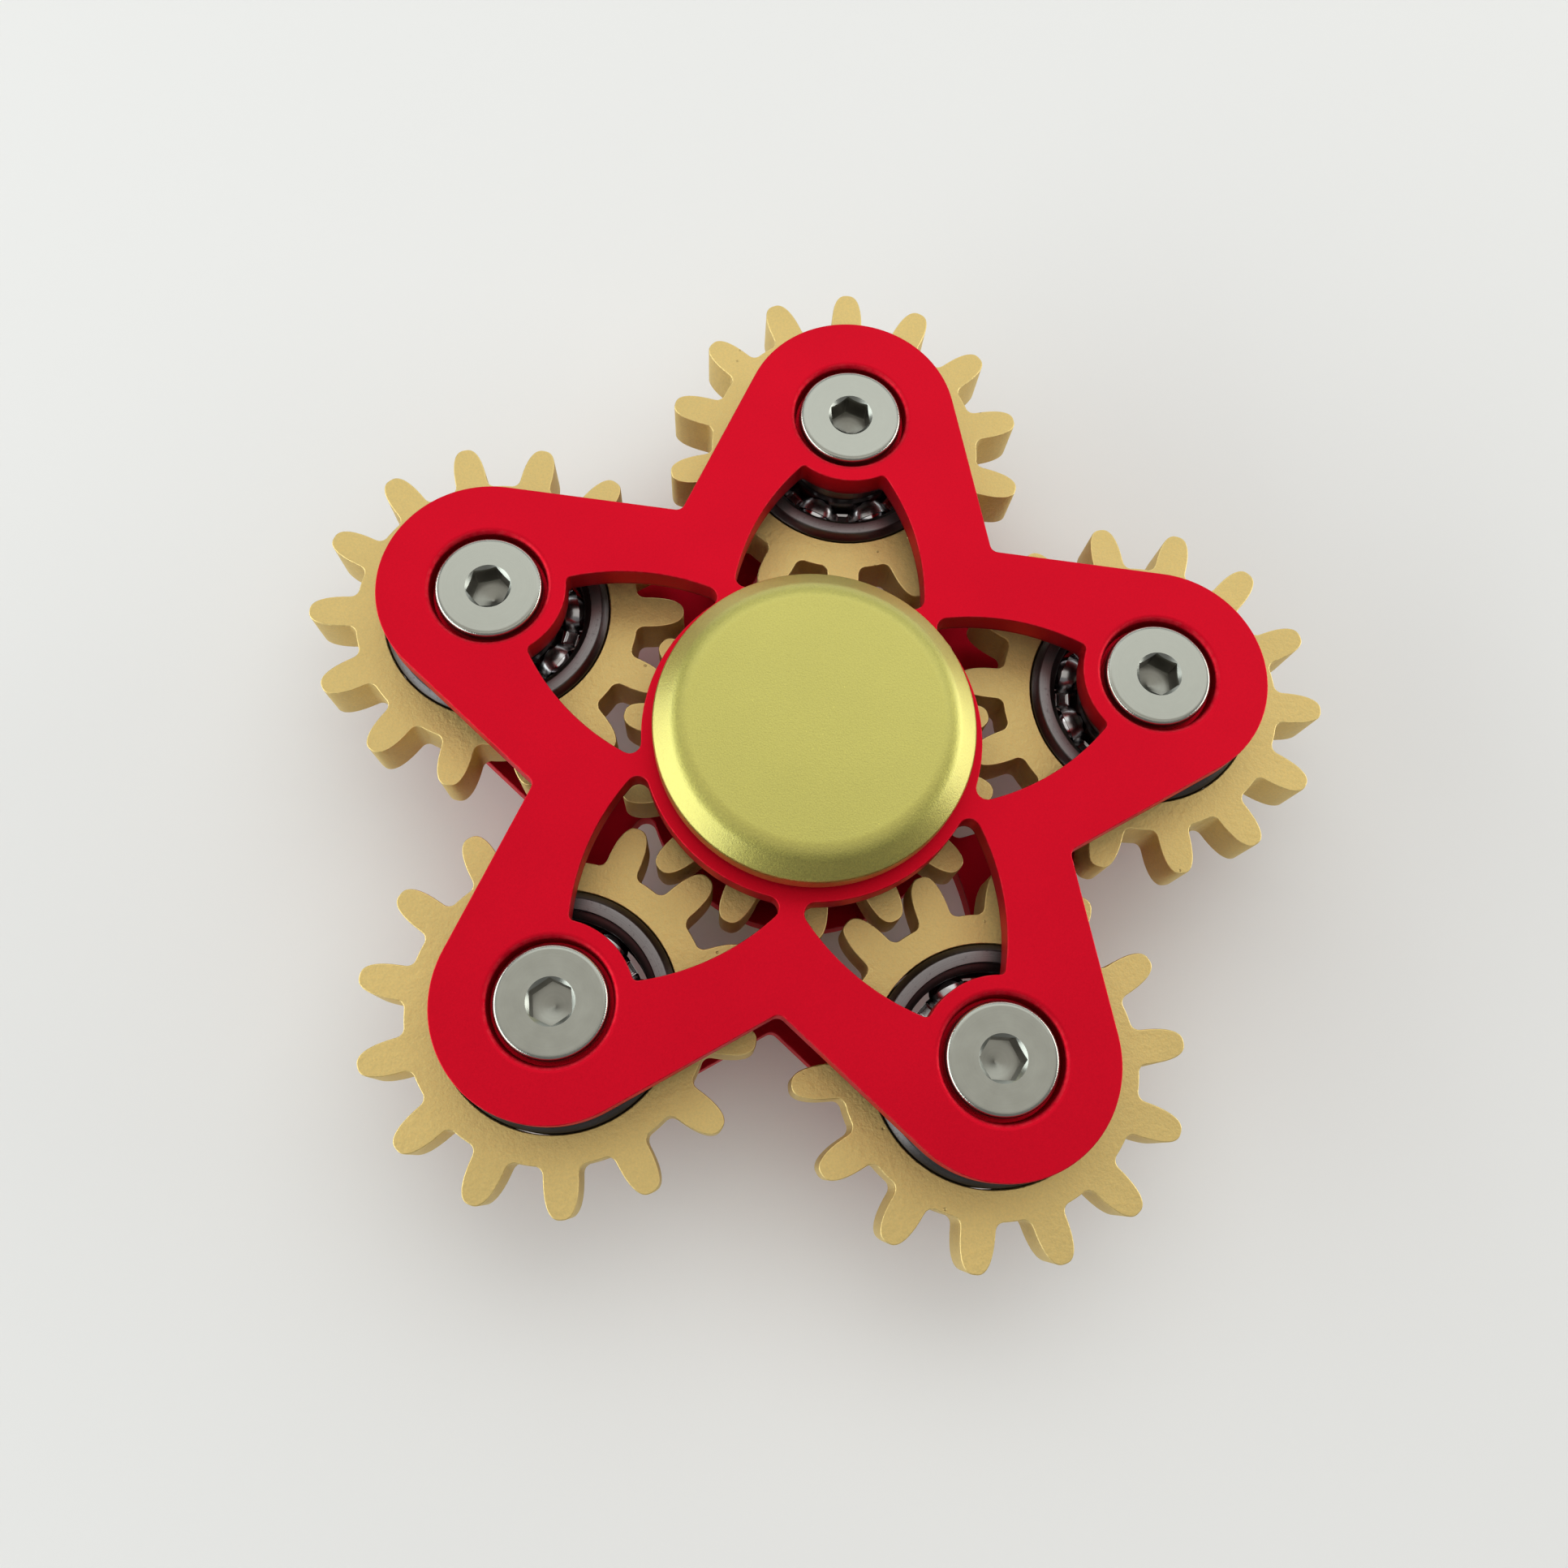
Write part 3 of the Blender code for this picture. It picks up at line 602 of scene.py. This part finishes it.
def plate_skin(hole_radius, keep_disc):
    """One side of the plate: half an arm drawn, mirrored and copied round the hub."""
    work = bmesh.new()
    hub_spot, screw_spot = Vector((0, 0)), Vector((0, arm_reach))
    low = circles_meet(hub_spot, hub_ring + hub_fillet, side_centre, side_radius - hub_fillet)
    high = circles_meet(screw_spot, eye + eye_fillet, side_centre, side_radius - eye_fillet)
    half_arm = arm_spacing / 2
    between = pi / 2 - half_arm
    reach = (arm_reach * sin(arm_taper) + arm_end + notch_fillet) / cos(half_arm)
    notch = Vector((cos(between), sin(between))) * reach
    start = work.verts.new((hub_hole * cos(between), hub_hole * sin(between), 0))
    pen = line_to(work, start, notch * (1 - notch_fillet / reach))
    pen = sweep(work, pen, notch, -half_arm, 4)
    pen = line_to(work, pen, (arm_end * cos(arm_taper), arm_reach + arm_end * sin(arm_taper)))
    pen = sweep(work, pen, screw_spot, pi / 2 - arm_taper, 22)
    top = line_to(work, pen, (0, arm_reach + hole_radius))
    pen = sweep(work, top, screw_spot, -pi, 24)
    well = [pen, top]
    pen = line_to(work, pen, (0, arm_reach - eye))
    pen = sweep(work, pen, screw_spot, bearing_of(screw_spot, high) + pi / 2, 12)
    out = bearing_of(side_centre, high)
    pen = sweep(work, pen, high, out - bearing_of(screw_spot, high) - pi, 6)
    pen = sweep(work, pen, side_centre, bearing_of(side_centre, low) - out, 22)
    pen = sweep(work, pen, low, bearing_of(hub_spot, low) - pi - bearing_of(side_centre, low), 8)
    pen = sweep(work, pen, hub_spot, pi / 2 - bearing_of(hub_spot, low), 12)
    pen = line_to(work, pen, (0, hub_hole))
    pen = sweep(work, pen, hub_spot, -half_arm, 10)
    bmesh.ops.remove_doubles(work, verts=[start, pen], dist=1e-3)
    flat_face(work)
    disc = []
    if keep_disc:
        chord = work.edges.new(well)
        ring = [edge for edge in work.edges if edge is not chord and all(
            abs((vert.co.xy - screw_spot).length - hole_radius) < 1e-3 for vert in edge.verts)]
        disc = bmesh.ops.contextual_create(work, geom=ring + [chord])["faces"]
        for face in disc:
            if face.normal.z < 0:
                face.normal_flip()
            face.material_index = 1
    bmesh.ops.mirror(work, geom=work.verts[:] + work.edges[:] + work.faces[:], axis="X",
                     matrix=Matrix.Identity(4), merge_dist=1e-4)
    for face in work.faces:
        face.normal_update()
        if face.normal.z < 0:
            face.normal_flip()
    bmesh.ops.spin(work, geom=work.faces[:], cent=(0, 0, 0), axis=(0, 0, 1), use_duplicate=True,
                   angle=tau - 2 * half_arm, steps=4)
    bmesh.ops.remove_doubles(work, verts=work.verts, dist=1e-3)
    bmesh.ops.translate(work, verts=work.verts, vec=(0, 0, plate_half - plate_edge))
    ease_edges(work, work.faces[:], plate_edge)
    bmesh.ops.delete(work, geom=[face for face in work.faces if face.material_index == 1],
                     context="FACES")
    return work


def frame_plate():
    """Both sides of the plate, the walls between them and the five screw recesses."""
    work = plate_skin(well_rim, keep_disc=True)
    outer_rim = [edge for edge in work.edges if edge.is_boundary
                 and max(vert.co.z for vert in edge.verts) < plate_half - plate_edge / 2]
    drop_walls(work, outer_rim, 2 * (plate_half - plate_edge))
    underside = plate_skin(screw_hole, keep_disc=False)
    bmesh.ops.scale(underside, verts=underside.verts, vec=(1, 1, -1))
    joined(work, underside)
    well_floor = plate_half - well_depth
    well = turned([(well_rim, plate_half, 0), (well_wall, plate_half, well_round),
                   (well_wall, well_floor, 0.12), (screw_hole, well_floor, 0.1),
                   (screw_hole, plate_edge - plate_half, 0)], steps=48)
    for arm in arms:
        spot = Matrix.Rotation(arm_spacing * arm, 4, "Z") @ Matrix.Translation((0, arm_reach, 0))
        copy = well.copy()
        bmesh.ops.transform(copy, verts=copy.verts, matrix=spot)
        joined(work, copy)
    well.free()
    return work


red_colour = (0.625, 0.0062, 0.0225)
bare_colour = (0.85, 0.10, 0.12, 1)
red, tree, shader = new_paint("red_anodised_aluminium", red_colour, 1.0, 0.48)
skin = use(tree, blasted_skin, {"Place": object_place(tree), "Grit": 9000.0, "Peel": 2600.0,
                                "Pits": 300.0})
tone = grey_ramp(tree, skin["Grit"], 0.25, 0.75, 0.91, 1.07)
tone = sums(tree, "MULTIPLY", tone, grey_ramp(tree, skin["Tone"], 0.3, 0.7, 0.97, 1.03))
own_height = add(tree, "ShaderNodeSeparateXYZ", {0: own_place(tree)}).outputs[2]
# Each plate's inner face, towards the gears, goes to half tone: painted shade between the plates.
inner_face_shade = grey_ramp(tree, own_height, -0.98, -0.6, 0.5, 1.0)
tone = sums(tree, "MULTIPLY", tone, inner_face_shade)
wear = sums(tree, "MULTIPLY", edge_mask(tree), grey_ramp(tree, skin["Peel"], 0.35, 0.65, 0.0, 0.16))
worn = blend_colour(tree, wear, scaled_colour(tree, red_colour, tone), bare_colour)
tree.links.new(worn, shader.inputs["Base Color"])
tree.links.new(grey_ramp(tree, skin["Grit"], 0.3, 0.7, 0.5, 0.58), shader.inputs["Roughness"])
height = sums(tree, "ADD", skin["Grit"], sums(tree, "MULTIPLY", skin["Peel"], 0.5))
bump(tree, shader, height, 0.45, 0.012)

up = Vector((0, 0, plate_middle * MM))
settle(frame_plate(), "front_star", "frame", hub + up, red, ["front_plate"])
settle(frame_plate(), "rear_star", "frame", hub - up, red, ["rear_plate"], turn=flipped)

# ---------------------------------------------------------------------------
# Screws and sleeves: a countersunk pair through each arm, the screw from the
# front and its threaded sleeve from the back.  Both have a flat head with a
# rolled, polished rim and a hexagon socket broached over a drilled hole.
plate_face = 6.35
head_radius = 3.68
mouth = 1.58
flat_distance = 1.34
socket_depth = 2.1
cone_radius = 1.0
cone_depth = 0.36
point_radius = 0.14
head_thickness = 1.37
rim_round = 0.37
socket_corners = (43, 20, 42, 4, 38)


def grow(work, rim, move):
    """Extrude a rim of edges and move each new vertex; returns the new rim."""
    made = bmesh.ops.extrude_edge_only(work, edges=rim)["geom"]
    for part in made:
        if isinstance(part, bmesh.types.BMVert):
            part.co = move(part.co)
    return [part for part in made if isinstance(part, bmesh.types.BMEdge) and part.is_boundary]


def headed(below, corner):
    """A flat head with its face at z = 0, the given section below it, and its socket."""
    work = turned([(mouth, 0, 0), (3.3, 0, 0), (head_radius, 0, rim_round),
                   (head_radius, -head_thickness, 0.1)] + below)

    def to_hexagon(point):
        turn = atan2(point.y, point.x)
        reach = flat_distance / cos((turn - corner) % (tau / 6) - tau / 12)
        reach = min(reach, mouth - 0.02)
        return Vector((reach * cos(turn), reach * sin(turn), -0.9 * (mouth - reach)))

    def to_circle(radius, depth):
        return lambda point: Vector((*(point.xy.normalized() * radius), -socket_depth - depth))

    rim = [edge for edge in work.edges if edge.is_boundary
           and all(abs(vert.co.xy.length - mouth) < 1e-3 for vert in edge.verts)]
    rim = grow(work, rim, to_hexagon)
    rim = grow(work, rim, lambda point: Vector((point.x, point.y, -socket_depth)))
    rim = grow(work, rim, to_circle(cone_radius, 0.03))
    rim = grow(work, rim, to_circle(point_radius, cone_depth - 0.02))
    grow(work, rim, to_circle(0, cone_depth))
    return work


for arm in arms:
    screw = headed([(2.3, -head_thickness, 0), (2.3, -2.9, 0.08), (1.45, -2.9, 0.1),
                    (1.45, -8.0, 0.25), (0, -8.0, 0)], radians(socket_corners[arm - 1]))
    settle(screw, f"socket_screw_{arm}", "frame", arm_axis(arm) + Vector((0, 0, plate_face * MM)),
           stainless, [f"screw_{arm}"])
    sleeve = headed([(2.25, -head_thickness, 0), (2.25, -9.55, 0.15), (1.75, -9.55, 0.15),
                     (1.75, -3.85, 0), (0, -3.85, 0)], radians(30))
    settle(sleeve, f"socket_sleeve_{arm}", "frame", arm_axis(arm) - Vector((0, 0, plate_face * MM)),
           stainless, [f"sleeve_{arm}"], turn=flipped)

# ---------------------------------------------------------------------------
# Hub spacers: turned stainless collars that clamp the hub bearing's inner ring
# between the finger caps and pass through the plates' middle holes.
collar_bore, collar_radius = 2.52, 3.68
collar_low, collar_high = 2.52, 6.93
for side, turn in (("front", upright), ("rear", flipped)):
    collar = turned([(collar_bore, collar_low, 0.1), (collar_radius, collar_low, 0.15),
                     (collar_radius, collar_high, 0.15), (collar_bore, collar_high, 0.1)],
                    closed=True, steps=48)
    settle(collar, f"{side}_hub_collar", "grip", hub, stainless,
           [f"{side}_hub_spacer"], turn=turn)

# ---------------------------------------------------------------------------
# Finger caps: two aluminium buttons, blasted and anodised pale gold, pressed
# on to the axle.  The pad is flat with a soft shoulder over a wide bevel.
gold_colour = (0.48, 0.445, 0.098)
gold, tree, shader = new_paint("pale_gold_anodised_aluminium", gold_colour, 1.0, 0.45,
                               Coat_Weight=0.9, Coat_Roughness=0.35)
skin = use(tree, blasted_skin, {"Place": object_place(tree), "Grit": 9000.0, "Peel": 4200.0,
                                "Pits": 1900.0})
tone = grey_ramp(tree, skin["Grit"], 0.25, 0.75, 0.86, 1.12)
tone = sums(tree, "MULTIPLY", tone, grey_ramp(tree, skin["Tone"], 0.3, 0.7, 0.97, 1.03))
# Sparse lighter specks on the pad: painted glints.
tone = sums(tree, "ADD", tone, sums(tree, "MULTIPLY", skin["Pit_and_glint"], 0.35))
tree.links.new(scaled_colour(tree, gold_colour, tone), shader.inputs["Base Color"])
tree.links.new(grey_ramp(tree, skin["Grit"], 0.3, 0.7, 0.38, 0.5), shader.inputs["Roughness"])
height = sums(tree, "ADD", skin["Grit"], sums(tree, "MULTIPLY", skin["Peel"], 0.45))
bump(tree, shader, height, 0.8, 0.02)

cap_section = [(0, 10.05, 0), (9.05, 10.05, 0.75), (10.68, 8.62, 0.14), (10.68, 6.97, 0.16),
               (2.52, 6.97, 0), (2.52, 8.75, 0), (0, 8.75, 0)]
for side, turn in (("front", upright), ("rear", flipped)):
    settle(turned(cap_section, steps=128), f"{side}_finger_cap", "grip", hub, gold,
           [f"{side}_cap"], turn=turn)

# ---------------------------------------------------------------------------
# Studio: a pale seamless floor, a broad warm box of light overhead, cooler
# ones high and low behind, bright low ones at the left and the right, and a
# camera that looks down on the spinner from the near side.
work = bmesh.new()
bmesh.ops.create_circle(work, cap_ends=True, segments=64, radius=3.0,
                        matrix=Matrix.Translation((0, 0, -0.0002)))
mesh = bpy.data.meshes.new("floor")
work.to_mesh(mesh)
work.free()
floor = bpy.data.objects.new("floor", mesh)
bpy.context.scene.collection.objects.link(floor)
paper, tree, shader = new_paint("pale_paper", (0.85, 0.85, 0.85), 0.0, 0.8)
fibre = add(tree, "ShaderNodeTexNoise", {"Vector": object_place(tree), "Scale": 300.0, "Detail": 4.0})
bump(tree, shader, fibre.outputs["Fac"], 0.1, 0.05)
mesh.materials.append(paper)


def softbox(name, azimuth, height, distance, size, glow, tint):
    """A rectangle of light that faces the spinner; angles in degrees, sizes in metres."""
    lamp = bpy.data.lights.new(name, "AREA")
    lamp.shape = "RECTANGLE"
    lamp.size, lamp.size_y = size
    lamp.energy = glow * pi * size[0] * size[1]
    lamp.color = tint
    box = bpy.data.objects.new(name, lamp)
    azimuth, height = radians(azimuth), radians(height)
    level = cos(height) * distance
    box.location = (level * cos(azimuth), level * sin(azimuth), sin(height) * distance)
    box.rotation_euler = (-box.location).to_track_quat("-Z", "Y").to_euler()
    box.visible_camera = False
    bpy.context.scene.collection.objects.link(box)


softbox("overhead_box", 90, 84, 0.6, (1.0, 0.95), 0.60, (1.0, 0.94, 0.85))
softbox("upper_box", 90, 54, 0.62, (0.9, 0.4), 0.85, (0.94, 1.0, 1.0))
softbox("left_box", 196, 17, 0.5, (0.8, 0.27), 3.3, (0.94, 1.0, 1.0))
softbox("right_box", 18, 11, 0.5, (0.42, 0.24), 3.9, (0.98, 1.0, 0.97))
softbox("back_box", 90, 12, 0.7, (1.1, 0.3), 1.0, (0.95, 1.0, 1.0))

world = bpy.data.worlds.new("studio")
world.use_nodes = True
world.node_tree.nodes["Background"].inputs["Color"].default_value = (1, 1, 1, 1)
world.node_tree.nodes["Background"].inputs["Strength"].default_value = 0.25
bpy.context.scene.world = world
bpy.context.scene.view_settings.view_transform = "Standard"

lens = bpy.data.cameras.new("camera")
lens.lens = 30.54
lens.clip_start = 0.005
camera = bpy.data.objects.new("camera", lens)
camera.location = (-0.00296, -0.02867, 0.10107)
camera.rotation_euler = (radians(16.159), radians(-2.969), radians(6.788))
bpy.context.scene.collection.objects.link(camera)
bpy.context.scene.camera = camera
